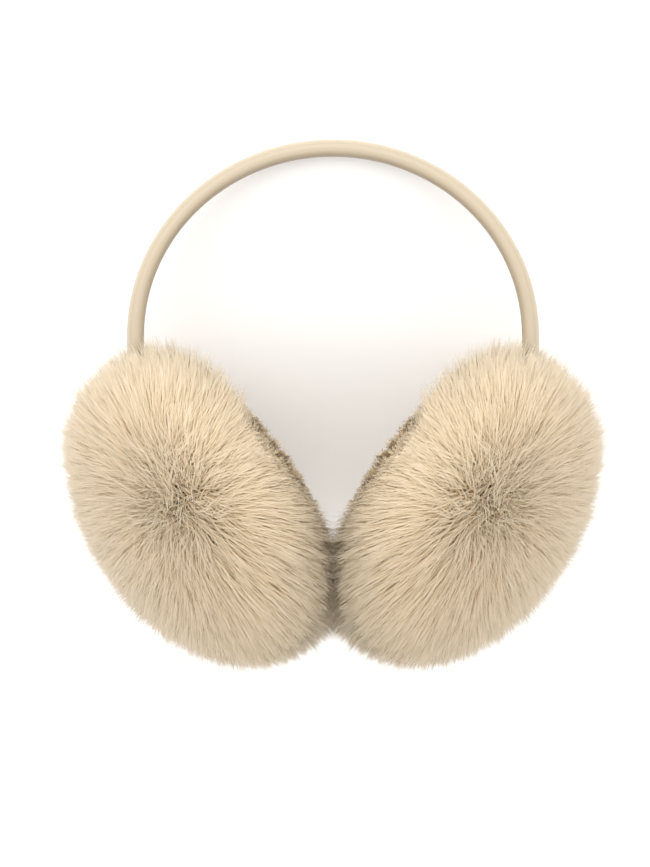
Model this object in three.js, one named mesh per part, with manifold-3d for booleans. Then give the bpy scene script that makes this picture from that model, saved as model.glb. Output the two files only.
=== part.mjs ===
// Fur earmuffs lying on a table: two deep fur pads with plush ear cushions on a covered, sprung headband.
// Millimetres, +Z up. The origin lies on the table, under the middle of the whole.
//
// Band frame: X across the head, Y from the ears up to the top of the arch, Z out of the plane of the band.
// Its origin is the middle of the spring line, where the arch turns into the straight legs.
// Pad frame: Z out of the ear, away from the head; X along the ear face, in the plane of the band.

import * as THREE from "three";
import { mergeVertices } from "three/addons/utils/BufferGeometryUtils.js";
import Module from "manifold-3d";

const wasm = await Module();
wasm.setup();

// Headband
const BAND_SPAN = 150.4; // outer width across the legs
const ARCH_RISE = 71.5; // outer height of the arch above the spring line
const BAND_THICKNESS = 6.2; // from the head side to the outer side
const BAND_WIDTH = 11; // front to back
const BAND_EDGE = 2; // rounding of the cover at the band's long edges
const LEG_LENGTH = 48.6; // straight leg below the spring line, most of it inside the pad

// Fur pads
const PAD_RADIUS = 66; // reach of the fur tips in the plane of the pad
const PAD_BULGE = 39; // reach of the fur tips on the outer side, from the pad's widest plane
const EAR_SIDE_DEPTH = 16; // flat ear side of the pad, behind its widest plane
const FUR_DEPTH = 13; // from the hide to the fur tips
const FUR_FLARE = 6; // reach of the rim's fur past the ear side, round the cushion
const LEG_INSET = 24.3; // leg's middle line, outwards from the pad's centre
const PAD_DROP = 64.6; // pad's centre below the spring line
const PAD_FALL = 36; // degrees that the outer side looks down from straight sideways
const PAD_TURN = 20; // degrees that the outer side is turned out of the plane of the band
const FUR_PRESS = 2.5; // fur flattened where the pads rest on the table
const PAD_PARTING = 0.6; // between the two pads where they press on each other

// Locks of fur
const LOCK_COUNT = 138; // locks that would cover the whole hide, ear side included
const LOCK_WIDTH = 14; // a lock across its root
const LOCK_SIDES = 4;
const LOCK_ROOTING = 5; // root sunk into the hide
const COMB = 0.3; // lean of a lock away from the crown, as a share of the hide's radius
const CROWN_TURN = 59; // degrees from the pad's axis to the crown that the fur parts from
const CROWN_SWING = 99; // degrees round the pad's axis to the crown, from the pad's X axis
const SHAGGINESS = 0.05; // share of the fur's reach by which locks differ

// A lock's outline: how far along it each section lies, and its width there as a share of LOCK_WIDTH
const LOCK_SECTIONS = [
  { along: 0, width: 1 },
  { along: 0.62, width: 0.85 },
];

// Ear cushions
const CUSHION_RADIUS = 46;
const CUSHION_HEIGHT = 8.5; // from the pad's ear side to the cushion's ear face
const CUSHION_EDGE = 4.5; // rounding round the ear face
const CUSHION_SEGMENTS = 28;

const CLEARANCE = 0.3; // between pieces that touch
const BAND_STEPS = 44;
const EDGE_STEPS = 1; // facets of each rounded long edge of the band
const HIDE_SEGMENTS = 20;

const degrees = THREE.MathUtils.degToRad;

const materials = {
  cover: new THREE.MeshStandardMaterial({ color: 0xe3d6b4, roughness: 0.5, metalness: 0 }),
  fur: new THREE.MeshStandardMaterial({ color: 0xddcba5, roughness: 0.95, metalness: 0 }),
  plush: new THREE.MeshStandardMaterial({ color: 0xb9a57f, roughness: 0.95, metalness: 0 }),
};

// Closed geometry as a solid: shared corners merged, collapsed faces dropped
function solidOf(geometry) {
  const bare = geometry.clone();
  bare.deleteAttribute("normal");
  bare.deleteAttribute("uv");
  const merged = mergeVertices(bare, 1e-4);
  const index = merged.index.array;
  const faces = [];
  for (let i = 0; i < index.length; i += 3) {
    const [a, b, c] = [index[i], index[i + 1], index[i + 2]];
    if (a !== b && b !== c && c !== a) faces.push(a, b, c);
  }
  const vertProperties = new Float32Array(merged.attributes.position.array);
  return new wasm.Manifold(new wasm.Mesh({ numProp: 3, vertProperties, triVerts: new Uint32Array(faces) }));
}

// The outer skin of a solid's largest body as geometry: without loose tips of fur that a cut leaves behind,
// and without the small sealed pockets between crossing locks
function geometryOf(solid) {
  const { vertProperties, triVerts, numProp } = solid.getMesh();
  const leader = Array.from({ length: vertProperties.length / numProp }, (_, i) => i);
  const leaderOf = (i) => {
    let found = i;
    while (leader[found] !== found) found = leader[found];
    leader[i] = found;
    return found;
  };
  for (let i = 0; i < triVerts.length; i += 3) {
    leader[leaderOf(triVerts[i])] = leaderOf(triVerts[i + 1]);
    leader[leaderOf(triVerts[i + 1])] = leaderOf(triVerts[i + 2]);
  }
  const corner = (i) => new THREE.Vector3().fromArray(vertProperties, numProp * triVerts[i]);
  const skins = new Map();
  for (let i = 0; i < triVerts.length; i += 3) {
    const key = leaderOf(triVerts[i]);
    const skin = skins.get(key) ?? { volume: 0, faces: [] };
    skin.volume += corner(i).dot(corner(i + 1).cross(corner(i + 2))) / 6;
    skin.faces.push(triVerts[i], triVerts[i + 1], triVerts[i + 2]);
    skins.set(key, skin);
  }
  const largest = [...skins.values()].reduce((best, skin) => (skin.volume > best.volume ? skin : best));
  const geometry = new THREE.BufferGeometry();
  geometry.setAttribute("position", new THREE.BufferAttribute(new Float32Array(vertProperties), 3));
  geometry.setIndex(largest.faces);
  geometry.computeVertexNormals();
  return geometry;
}

// The same geometry with its X turned over, faces still pointing out
function mirrored(geometry) {
  const copy = geometry.clone().scale(-1, 1, 1);
  const index = copy.index.array;
  for (let i = 0; i < index.length; i += 3) [index[i], index[i + 1]] = [index[i + 1], index[i]];
  copy.computeVertexNormals();
  return copy;
}

// Middle line of the headband in its own plane: up one leg, over a half-ellipse, down the other
class BandLine extends THREE.Curve {
  getPoint(t, target = new THREE.Vector3()) {
    const halfSpan = (BAND_SPAN - BAND_THICKNESS) / 2;
    const rise = ARCH_RISE - BAND_THICKNESS / 2;
    const archLength = Math.PI * Math.sqrt((halfSpan ** 2 + rise ** 2) / 2);
    const walked = t * (archLength + 2 * LEG_LENGTH) - LEG_LENGTH;
    if (walked < 0) return target.set(-halfSpan, walked, 0);
    if (walked > archLength) return target.set(halfSpan, archLength - walked, 0);
    const turn = Math.PI * (walked / archLength);
    return target.set(-halfSpan * Math.cos(turn), rise * Math.sin(turn), 0);
  }
}

// Section of the band, grown by a clearance where it is used to cut a pocket
function bandSection(clearance) {
  const half = { x: BAND_WIDTH / 2 + clearance, y: BAND_THICKNESS / 2 + clearance };
  const edge = Math.min(BAND_EDGE, BAND_WIDTH / 2, BAND_THICKNESS / 2) + clearance;
  const outline = [];
  const corners = [[1, 1], [-1, 1], [-1, -1], [1, -1]];
  corners.forEach(([sx, sy], quarter) => {
    for (let step = 0; step <= EDGE_STEPS; step += 1) {
      const turn = (Math.PI / 2) * (quarter + step / EDGE_STEPS);
      const x = sx * (half.x - edge) + edge * Math.cos(turn);
      const y = sy * (half.y - edge) + edge * Math.sin(turn);
      outline.push(new THREE.Vector2(x, y));
    }
  });
  return new THREE.Shape(outline);
}

function headbandGeometry(clearance = 0) {
  return new THREE.ExtrudeGeometry(bandSection(clearance), {
    steps: BAND_STEPS,
    extrudePath: new BandLine(),
  });
}

// Where the left pad sits in the band frame
const padCentre = new THREE.Vector3(-(BAND_SPAN - BAND_THICKNESS) / 2 + LEG_INSET, -PAD_DROP, 0);
const fall = degrees(PAD_FALL);
const turnOut = degrees(PAD_TURN);
const padOutwards = new THREE.Vector3(
  -Math.cos(turnOut) * Math.cos(fall),
  -Math.cos(turnOut) * Math.sin(fall),
  Math.sin(turnOut),
);
const padAlong = new THREE.Vector3(Math.sin(fall), -Math.cos(fall), 0);
const padAcross = new THREE.Vector3().crossVectors(padOutwards, padAlong);
const padPlace = new THREE.Matrix4().makeBasis(padAlong, padAcross, padOutwards).setPosition(padCentre);

// Reach of the fur tips from the pad's centre in a direction of the band frame
function padReach(direction) {
  const axial = direction.dot(padOutwards);
  return Math.hypot(PAD_RADIUS * Math.sqrt(1 - axial ** 2), PAD_BULGE * axial);
}

// How far the band leans back when it lies on the table on both pads and the top of the arch,
// and how high the spring line is then
function lyingPose() {
  const band = headbandGeometry().attributes.position;
  const heights = (lean) => {
    const down = new THREE.Vector3(0, Math.sin(lean), -Math.cos(lean));
    const point = new THREE.Vector3();
    let lowest = Infinity;
    for (let i = 0; i < band.count; i += 1) {
      lowest = Math.min(lowest, -point.fromBufferAttribute(band, i).dot(down));
    }
    return { band: lowest, pads: -padCentre.dot(down) - padReach(down) + FUR_PRESS };
  };
  let [low, high] = [0, Math.PI / 3];
  for (let i = 0; i < 40; i += 1) {
    const middle = (low + high) / 2;
    const { band: bandLow, pads } = heights(middle);
    if (bandLow > pads) low = middle;
    else high = middle;
  }
  return { lean: low, height: -heights(low).band };
}

// A number between -1 and 1 that looks random and is the same each time
function scatter(seed) {
  const value = Math.sin(seed * 127.1 + 11.7) * 43758.5453;
  return 2 * (value - Math.floor(value)) - 1;
}

// One lock: a tapering, faceted horn bent along the curve from its root in the hide to its tip
function lockGeometry(root, rise, tip) {
  const spine = new THREE.QuadraticBezierCurve3(root, rise, tip);
  const profile = [new THREE.Vector2(0, 0)];
  for (const { along, width } of LOCK_SECTIONS) {
    profile.push(new THREE.Vector2((width * LOCK_WIDTH) / 2, along));
  }
  profile.push(new THREE.Vector2(0, 1));
  const lock = new THREE.LatheGeometry(profile, LOCK_SIDES);
  const position = lock.attributes.position;
  const side = new THREE.Vector3().crossVectors(rise.clone().sub(root), tip.clone().sub(root));
  if (side.lengthSq() < 1e-6) side.set(1, 0, 0);
  side.normalize();
  const point = new THREE.Vector3();
  for (let i = 0; i < position.count; i += 1) {
    point.fromBufferAttribute(position, i);
    const along = THREE.MathUtils.clamp(point.y, 0, 1);
    const ahead = spine.getTangent(along);
    const front = new THREE.Vector3().crossVectors(ahead, side).normalize();
    const across = new THREE.Vector3().crossVectors(ahead, front);
    const place = spine.getPoint(along).addScaledVector(across, point.x).addScaledVector(front, point.z);
    position.setXYZ(i, place.x, place.y, place.z);
  }
  return lock;
}

// Locks over the hide, spread evenly by a golden-angle spiral and combed away from the crown
function furLocks() {
  const crown = new THREE.Vector3(
    Math.sin(degrees(CROWN_TURN)) * Math.cos(degrees(CROWN_SWING)),
    Math.sin(degrees(CROWN_TURN)) * Math.sin(degrees(CROWN_SWING)),
    Math.cos(degrees(CROWN_TURN)),
  );
  const hideRadius = PAD_RADIUS - FUR_DEPTH;
  const hideBulge = PAD_BULGE - FUR_DEPTH;
  const lowestRoot = -EAR_SIDE_DEPTH / hideBulge;
  const lowestTip = -(EAR_SIDE_DEPTH + FUR_FLARE) / PAD_BULGE;
  const goldenAngle = Math.PI * (3 - Math.sqrt(5));
  const locks = [];
  for (let i = 0; i < LOCK_COUNT; i += 1) {
    const height = 1 - (2 * i + 1) / LOCK_COUNT;
    if (height < lowestRoot) break;
    const ring = Math.sqrt(1 - height ** 2);
    const out = new THREE.Vector3(ring * Math.cos(i * goldenAngle), ring * Math.sin(i * goldenAngle), height);
    const combed = out.clone().addScaledVector(crown, -out.dot(crown));
    if (combed.lengthSq() > 0) combed.normalize();
    const aim = out.clone().addScaledVector(combed, COMB * (1 + SHAGGINESS * scatter(i))).normalize();
    if (aim.z < lowestTip) aim.multiplyScalar(Math.sqrt((1 - lowestTip ** 2) / (1 - aim.z ** 2))).setZ(lowestTip);
    const reach = 1 + SHAGGINESS * scatter(i + LOCK_COUNT);
    const hide = new THREE.Vector3(hideRadius * out.x, hideRadius * out.y, hideBulge * out.z);
    const normal = new THREE.Vector3(out.x / hideRadius, out.y / hideRadius, out.z / hideBulge).normalize();
    const root = hide.clone().addScaledVector(normal, -LOCK_ROOTING);
    const rise = hide.clone().addScaledVector(normal, FUR_DEPTH / 2);
    const tip = new THREE.Vector3(PAD_RADIUS * aim.x, PAD_RADIUS * aim.y, PAD_BULGE * aim.z);
    tip.multiplyScalar(reach);
    locks.push(solidOf(lockGeometry(root, rise, tip)));
  }
  return locks;
}

// A big block whose face with the outward direction `facing` goes through a point, for trimming
function trimBlock(point, facing) {
  const size = 8 * PAD_RADIUS;
  const block = new THREE.BoxGeometry(size, size, size).translate(0, 0, -size / 2);
  const turn = new THREE.Quaternion().setFromUnitVectors(new THREE.Vector3(0, 0, 1), facing);
  return block.applyQuaternion(turn).translate(point.x, point.y, point.z);
}

// What the fur leaves free for the ear cushion, in the pad frame
function cushionSpace() {
  const radius = CUSHION_RADIUS + CLEARANCE;
  const space = new THREE.CylinderGeometry(radius, radius, PAD_RADIUS, CUSHION_SEGMENTS);
  return space.rotateX(Math.PI / 2).translate(0, 0, -EAR_SIDE_DEPTH - PAD_RADIUS / 2);
}

// Left fur pad in its own frame: hide and locks in one body, flat towards the ear, the other pad and the table
function furPadGeometry(pose) {
  const toPad = padPlace.clone().invert();
  const down = new THREE.Vector3(0, Math.sin(pose.lean), -Math.cos(pose.lean));
  const hide = new THREE.SphereGeometry(1, HIDE_SEGMENTS, HIDE_SEGMENTS / 2).rotateX(Math.PI / 2);
  hide.scale(PAD_RADIUS - FUR_DEPTH, PAD_RADIUS - FUR_DEPTH, PAD_BULGE - FUR_DEPTH);
  const earSideBlock = trimBlock(new THREE.Vector3(0, 0, -EAR_SIDE_DEPTH), new THREE.Vector3(0, 0, 1));
  const trimmedHide = solidOf(hide).subtract(solidOf(earSideBlock));
  let pad = furLocks().reduce((whole, lock) => whole.add(lock), trimmedHide);
  const trims = [
    cushionSpace(),
    trimBlock(new THREE.Vector3(-PAD_PARTING / 2, 0, 0), new THREE.Vector3(-1, 0, 0)).applyMatrix4(toPad),
    trimBlock(down.clone().multiplyScalar(pose.height), down.clone().negate()).applyMatrix4(toPad),
    headbandGeometry(CLEARANCE).applyMatrix4(toPad),
  ];
  for (const trim of trims) pad = pad.subtract(solidOf(trim));
  return geometryOf(pad);
}

// Ear cushion in the pad frame: a round pad with a soft edge round its flat ear face
function cushionGeometry() {
  const back = -EAR_SIDE_DEPTH - CLEARANCE;
  const face = -EAR_SIDE_DEPTH - CUSHION_HEIGHT;
  const profile = [new THREE.Vector2(0, face), new THREE.Vector2(CUSHION_RADIUS - 2 * CUSHION_EDGE, face)];
  const edgeSteps = 3;
  for (let step = 0; step <= edgeSteps; step += 1) {
    const turn = (Math.PI / 2) * (step / edgeSteps);
    const out = CUSHION_RADIUS - CUSHION_EDGE + CUSHION_EDGE * Math.sin(turn);
    profile.push(new THREE.Vector2(out, face + CUSHION_EDGE * (1 - Math.cos(turn))));
  }
  profile.push(new THREE.Vector2(CUSHION_RADIUS - CUSHION_EDGE / 3, back), new THREE.Vector2(0, back));
  const cushion = new THREE.LatheGeometry(profile, CUSHION_SEGMENTS).rotateX(Math.PI / 2);
  return geometryOf(solidOf(cushion));
}

function namedMesh(name, geometry, material) {
  const mesh = new THREE.Mesh(geometry, material);
  mesh.name = name;
  return mesh;
}

// A pad and its cushion on their leg; the right side is the left one turned over
function earSide(side, fur, cushion) {
  const group = new THREE.Group();
  const isLeft = side === "left";
  const turn = new THREE.Quaternion().setFromRotationMatrix(padPlace);
  group.position.set(isLeft ? padCentre.x : -padCentre.x, padCentre.y, padCentre.z);
  group.quaternion.set(turn.x, isLeft ? turn.y : -turn.y, isLeft ? turn.z : -turn.z, turn.w);
  group.add(namedMesh(`fur_pad_${side}`, isLeft ? fur : mirrored(fur), materials.fur));
  group.add(namedMesh(`ear_cushion_${side}`, isLeft ? cushion : mirrored(cushion), materials.plush));
  return group;
}

const pose = lyingPose();
const fur = furPadGeometry(pose);
const cushion = cushionGeometry();

const lying = new THREE.Group();
lying.rotation.x = -pose.lean;
lying.position.z = pose.height;
lying.add(namedMesh("headband", geometryOf(solidOf(headbandGeometry())), materials.cover));
lying.add(earSide("left", fur, cushion), earSide("right", fur, cushion));

const earmuffs = new THREE.Group();
earmuffs.add(lying);
const bounds = new THREE.Box3().setFromObject(earmuffs, true);
lying.position.y = -(bounds.min.y + bounds.max.y) / 2;

export default earmuffs;
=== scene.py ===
"""Fur earmuffs lying on a table: two deep fur pads with plush ear cushions on a slim, covered headband.

Sizes are in metres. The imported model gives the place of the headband, of the pads and of the cushions. The
left side is worked out in the pad's own axes, and the right side is its mirror image.
"""

from __future__ import annotations

import logging
import math
from collections.abc import Iterable, Mapping
from dataclasses import dataclass
from enum import Enum
from typing import Any

import bpy
import numpy as np
from mathutils import Matrix, Vector
from mathutils.kdtree import KDTree

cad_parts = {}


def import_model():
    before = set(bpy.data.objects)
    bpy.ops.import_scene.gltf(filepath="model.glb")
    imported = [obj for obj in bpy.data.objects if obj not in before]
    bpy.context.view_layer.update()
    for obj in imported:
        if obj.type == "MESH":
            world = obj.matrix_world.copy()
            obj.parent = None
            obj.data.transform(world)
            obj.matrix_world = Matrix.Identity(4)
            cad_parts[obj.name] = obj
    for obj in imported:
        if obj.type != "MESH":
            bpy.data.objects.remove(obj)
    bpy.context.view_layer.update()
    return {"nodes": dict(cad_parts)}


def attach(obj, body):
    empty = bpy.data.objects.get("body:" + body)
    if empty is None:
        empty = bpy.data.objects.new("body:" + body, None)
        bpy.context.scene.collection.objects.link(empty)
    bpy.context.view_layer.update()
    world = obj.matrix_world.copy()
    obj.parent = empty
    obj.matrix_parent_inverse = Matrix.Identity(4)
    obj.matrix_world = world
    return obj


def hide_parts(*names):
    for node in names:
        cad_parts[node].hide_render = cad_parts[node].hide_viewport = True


LOG = logging.getLogger("earmuffs")
BODY = "root"
MM = 0.001
ARCH_RISE = 71.5 * MM
BAND_THICKNESS = 6.2 * MM
BAND_WIDTH = 11 * MM
EAR_SIDE = 16 * MM
CUSHION_GAP = 0.3 * MM
GOLDEN_ANGLE = math.pi * (3 - math.sqrt(5))
STRAND_MAP = "OFBake"
TONE_COLUMNS = 256
NOISE_WAVES = 9
NOISE_GAIN = 2.2

Array = np.ndarray
Triple = tuple[float, float, float]
Colour = Triple
ACROSS = np.array([1.0, 0.0, 0.0])


class Side(Enum):
    """The two sides of the earmuffs as the picture shows them."""

    LEFT = "left"
    RIGHT = "right"

    @property
    def flip(self) -> Array:
        """What turns a point of the left side into one of this side."""
        return np.array([1.0 if self is Side.LEFT else -1.0, 1.0, 1.0])


class Grade(Enum):
    """Which layer of the coat a hair belongs to."""

    UNDERFUR = "underfur"
    GUARD_HAIR = "guard_hair"


def linear(red: int, green: int, blue: int) -> Colour:
    """A screen colour as linear light.

    Args:
        red: red from 0 to 255.
        green: green from 0 to 255.
        blue: blue from 0 to 255.

    Returns:
        The three numbers that a shader takes.
    """
    shares = [value / 255 for value in (red, green, blue)]
    return tuple(s / 12.92 if s <= 0.04045 else ((s + 0.055) / 1.055) ** 2.4 for s in shares)


def unit(vectors: Array) -> Array:
    """Vectors of length one, along the last axis."""
    return vectors / np.maximum(np.linalg.norm(vectors, axis=-1, keepdims=True), 1e-12)


class Signal:
    """A number on a shader socket that takes part in Python arithmetic."""

    def __init__(self, graph: ShaderGraph, socket: bpy.types.NodeSocket) -> None:
        """Keeps the graph that the socket is in, and the socket."""
        self.graph = graph
        self.socket = socket

    def _math(self, operation: str, *values: Signal | float) -> Signal:
        """One Math node on these values."""
        node = self.graph.node("ShaderNodeMath", {"operation": operation}, dict(enumerate(values)))
        return Signal(self.graph, node.outputs[0])

    def __add__(self, other: Signal | float) -> Signal:
        """The sum."""
        return self._math("ADD", self, other)

    __radd__ = __add__

    def __sub__(self, other: Signal | float) -> Signal:
        """The difference."""
        return self._math("SUBTRACT", self, other)

    def __rsub__(self, other: Signal | float) -> Signal:
        """The difference, the other way round."""
        return self._math("SUBTRACT", other, self)

    def __mul__(self, other: Signal | float) -> Signal:
        """The product."""
        return self._math("MULTIPLY", self, other)

    __rmul__ = __mul__

    def cosine(self) -> Signal:
        """The cosine."""
        return self._math("COSINE", self)

    def size(self) -> Signal:
        """The value without its sign."""
        return self._math("ABSOLUTE", self)

    def clamped(self) -> Signal:
        """The same, kept between 0 and 1."""
        return self._math("MINIMUM", self._math("MAXIMUM", self, 0.0), 1.0)


class ShaderGraph:
    """The nodes of one material, with its Principled shader."""

    def __init__(self, name: str) -> None:
        """Starts a material with an output and a Principled shader.

        Args:
            name: the material's name.
        """
        self.material = bpy.data.materials.new(name)
        self.material.use_nodes = True
        self.tree = self.material.node_tree
        self.tree.nodes.clear()
        self.shader = self.node("ShaderNodeBsdfPrincipled")
        self.output = self.node("ShaderNodeOutputMaterial")
        self.tree.links.new(self.shader.outputs["BSDF"], self.output.inputs["Surface"])

    def node(
        self,
        kind: str,
        settings: Mapping[str, Any] | None = None,
        inputs: Mapping[str | int, Any] | None = None,
    ) -> bpy.types.Node:
        """Adds a node.

        Args:
            kind: the node's type.
            settings: its own settings; "stops" fills a colour ramp.
            inputs: values, signals or sockets, by the input's name or number.

        Returns:
            The node.
        """
        node = self.tree.nodes.new(kind)
        for key, value in (settings or {}).items():
            if key == "stops":
                self._fill_ramp(node, value)
            else:
                setattr(node, key, value)
        for key, value in (inputs or {}).items():
            if isinstance(value, Signal):
                value = value.socket
            if isinstance(value, bpy.types.NodeSocket):
                self.tree.links.new(value, node.inputs[key])
            else:
                node.inputs[key].default_value = value
        return node

    @staticmethod
    def _fill_ramp(node: bpy.types.Node, stops: Iterable[tuple[float, Colour]]) -> None:
        """Sets the stops of a colour ramp.

        Args:
            node: the ramp.
            stops: place and colour of each stop, from the lowest up.
        """
        elements = node.color_ramp.elements
        while len(elements) > 1:
            elements.remove(elements[-1])
        for number, (place, colour) in enumerate(stops):
            element = elements[0] if number == 0 else elements.new(place)
            element.position = place
            element.color = (*colour, 1.0)

    def noise(self, vector: bpy.types.NodeSocket, scale: float, detail: float = 2.0) -> Signal:
        """A noise pattern over a vector, from 0 to 1."""
        inputs = {"Vector": vector, "Scale": scale, "Detail": detail}
        return Signal(self, self.node("ShaderNodeTexNoise", None, inputs).outputs[0])

    def ramp(self, factor: Signal, stops: Iterable[tuple[float, Colour]]) -> bpy.types.NodeSocket:
        """The colour that a ramp gives to a signal."""
        return self.node("ShaderNodeValToRGB", {"stops": stops}, {0: factor}).outputs[0]

    def shaded(self, colour: bpy.types.NodeSocket, strength: Signal) -> bpy.types.NodeSocket:
        """A colour made darker or lighter by a signal."""
        scaled = self.node("ShaderNodeVectorMath", {"operation": "SCALE"}, {0: colour, "Scale": strength})
        return scaled.outputs[0]

    def stretched(self, vector: bpy.types.NodeSocket, scale: Triple) -> bpy.types.NodeSocket:
        """A vector with each of its parts multiplied."""
        inputs = {0: vector, 1: scale}
        return self.node("ShaderNodeVectorMath", {"operation": "MULTIPLY"}, inputs).outputs[0]

    def object_place(self) -> bpy.types.NodeSocket:
        """The place on the object."""
        return self.node("ShaderNodeTexCoord").outputs["Object"]

    def strand_place(self) -> tuple[Signal, Signal]:
        """The tone of a strand, and how far along it a point lies."""
        parts = self.node("ShaderNodeSeparateXYZ", None, {0: self.map_place()})
        return Signal(self, parts.outputs[0]), Signal(self, parts.outputs[1])

    def map_place(self) -> bpy.types.NodeSocket:
        """The place on the piece's own map."""
        return self.node("ShaderNodeUVMap", {"uv_map": STRAND_MAP}).outputs[0]

    def feed(self, **sockets: Any) -> None:
        """Sets sockets of the shader.

        Args:
            sockets: values, signals or sockets, by the input's name with _ for a space.
        """
        for key, value in sockets.items():
            target = self.shader.inputs[key.replace("_", " ")]
            if isinstance(value, Signal):
                value = value.socket
            if isinstance(value, bpy.types.NodeSocket):
                self.tree.links.new(value, target)
            else:
                target.default_value = value

    def let_through(self, colour: Colour, share: float) -> None:
        """Lets a share of the light pass through the surface.

        Args:
            colour: the colour of that light.
            share: how much of the light it is, from 0 to 1.
        """
        passing = self.node("ShaderNodeBsdfTranslucent", None, {"Color": (*colour, 1.0)})
        inputs = {0: share, 1: self.shader.outputs[0], 2: passing.outputs[0]}
        mixed = self.node("ShaderNodeMixShader", None, inputs)
        self.tree.links.new(mixed.outputs[0], self.output.inputs["Surface"])

    def bump(self, height: Signal, depth: float, strength: float) -> None:
        """Raises the surface by a signal.

        Args:
            height: the signal, from 0 to 1.
            depth: how far 1 stands above 0, in metres.
            strength: how much of it shows, from 0 to 1.
        """
        inputs = {"Height": height, "Distance": depth, "Strength": strength}
        self.feed(Normal=self.node("ShaderNodeBump", None, inputs).outputs[0])


@dataclass(frozen=True)
class StrandFinish:
    """Hair that is darker at its root, with a tone of its own."""

    name: str
    stops: tuple[tuple[float, Colour], ...]
    darkest: float
    lightest: float
    sheen: float
    sheen_spread: float = 0.5
    gloss: float = 0.25
    roughness: float = 0.62
    passing: float = 0.45

    def material(self) -> bpy.types.Material:
        """The finish as a material.

        Returns:
            A material that reads the strands' map.
        """
        graph = ShaderGraph(self.name)
        tone, along = graph.strand_place()
        strength = self.darkest + tone * (self.lightest - self.darkest)
        graph.feed(
            Base_Color=graph.shaded(graph.ramp(along, self.stops), strength),
            Roughness=self.roughness,
            Specular_IOR_Level=self.gloss,
            Sheen_Weight=self.sheen,
            Sheen_Roughness=self.sheen_spread,
        )
        graph.let_through(self.stops[-1][1], self.passing)
        return graph.material


@dataclass(frozen=True)
class BackingFinish:
    """Knitted backing under the fur or the pile, seen only between the hairs, with painted shade in the
    knit's hollows.
    """

    name: str
    colour: Colour
    knit: float = 1.1 * MM
    knit_depth: float = 0.3 * MM
    patch_scale: float = 60.0
    hollow_shade_share: float = 0.7

    def material(self) -> bpy.types.Material:
        """The finish as a material.

        Returns:
            A material with a fine knit, painted shade in its hollows, and slow patches.
        """
        graph = ShaderGraph(self.name)
        place = graph.object_place()
        knit = graph.noise(place, 1 / self.knit, 3.0)
        patches = graph.noise(place, self.patch_scale)
        # Painted shade: the knit's hollows, where its bump is lowest, take the darker colour; the slow
        # patches are the backing's own tone.
        hollow_shade_colour = tuple(self.hollow_shade_share * part for part in self.colour)
        colour = graph.ramp(knit * 0.6 + patches * 0.4, ((0.35, hollow_shade_colour), (0.65, self.colour)))
        graph.feed(Base_Color=colour, Roughness=0.95, Specular_IOR_Level=0.1)
        graph.bump(knit, self.knit_depth, 0.6)
        return graph.material


@dataclass(frozen=True)
class CoverFinish:
    """The smooth, satin cover of the headband, with a fine grain and soft creases along it; its colour is
    lighter on the outer side and darker on the head side as painted light and shade.
    """

    map_share: float
    name: str = "band_satin"
    # Painted light and shade round the section: outer is the lit outer side, front the half-lit front, inner
    # the shaded head side.
    outer: Colour = linear(190, 178, 157)
    front: Colour = linear(178, 165, 143)
    inner: Colour = linear(150, 134, 110)
    fold_place: float = 0.2
    fold_width: float = 0.012
    drift_scale: Triple = (9.0, 22.0, 1.0)
    crease_scale: Triple = (46.0, 7.0, 1.0)
    crease_depth: float = 0.35 * MM
    grain_scale: float = 1400.0

    def material(self) -> bpy.types.Material:
        """The finish as a material.

        Returns:
            A material that reads the band's map: round the section and along the band.
        """
        graph = ShaderGraph(self.name)
        spot = graph.map_place()
        across, along = graph.strand_place()
        around = across * self.map_share
        drift = graph.noise(graph.stretched(spot, self.drift_scale), 1.0, 3.0) - 0.5
        # Painted light and shade: the colour runs from the shaded head side to the lit outer side, with a
        # little random drift.
        outward = 0.5 - 0.5 * (around * (2 * math.pi)).cosine() + drift * 0.12
        stops = ((0.08, self.inner), (0.42, self.front), (0.62, self.front), (0.9, self.outer))
        creases = graph.noise(graph.stretched(spot, self.crease_scale), 1.0, 2.0)
        grain = graph.noise(graph.object_place(), self.grain_scale, 3.0)
        leg_ends = 0.5 + 0.5 * (along * (2 * math.pi)).cosine()
        # The fold line is a groove in the bump; its darker colour is painted shade in the groove.
        fold = (1 - ((around - 0.5).size() - self.fold_place).size() * (1 / self.fold_width)).clamped()
        graph.feed(
            Base_Color=graph.shaded(graph.ramp(outward, stops), 0.96 + grain * 0.08 - fold * 0.05),
            Roughness=0.4 + grain * 0.16,
            Specular_IOR_Level=0.4,
            Sheen_Weight=0.12,
        )
        height = creases * (0.35 + leg_ends * 0.65) + grain * 0.12 - fold * 0.5
        graph.bump(height, self.crease_depth, 0.7)
        return graph.material


@dataclass(frozen=True)
class TableFinish:
    """The plain pale table that the earmuffs lie on."""

    name: str = "table_top"
    colour: Colour = (0.97, 0.97, 0.97)

    def material(self) -> bpy.types.Material:
        """The finish as a material.

        Returns:
            A plain, matt material.
        """
        graph = ShaderGraph(self.name)
        graph.feed(Base_Color=(*self.colour, 1.0), Roughness=0.85, Specular_IOR_Level=0.1)
        return graph.material


GUARD_FINISH = StrandFinish(
    "guard_hair_fur",
    (
        (0.0, linear(188, 161, 119)),
        (0.3, linear(218, 198, 163)),
        (0.62, linear(231, 215, 187)),
        # The palest tip stop is partly the fur's own pale tips and partly a painted highlight for light
        # caught at the tips.
        (1.0, linear(243, 232, 211)),
    ),
    darkest=0.74,
    lightest=1.06,
    sheen=0.35,
)
UNDERFUR_FINISH = StrandFinish(
    "underfur_fur",
    (
        (0.0, linear(190, 163, 122)),
        (0.45, linear(220, 200, 166)),
        (1.0, linear(232, 216, 188)),
    ),
    darkest=0.74,
    lightest=1.05,
    sheen=0.25,
)
PLUSH_FINISH = StrandFinish(
    "plush_pile",
    (
        (0.0, linear(200, 177, 143)),
        (0.6, linear(224, 206, 175)),
        (1.0, linear(234, 219, 192)),
    ),
    darkest=0.9,
    lightest=1.05,
    sheen=0.3,
)
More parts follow.
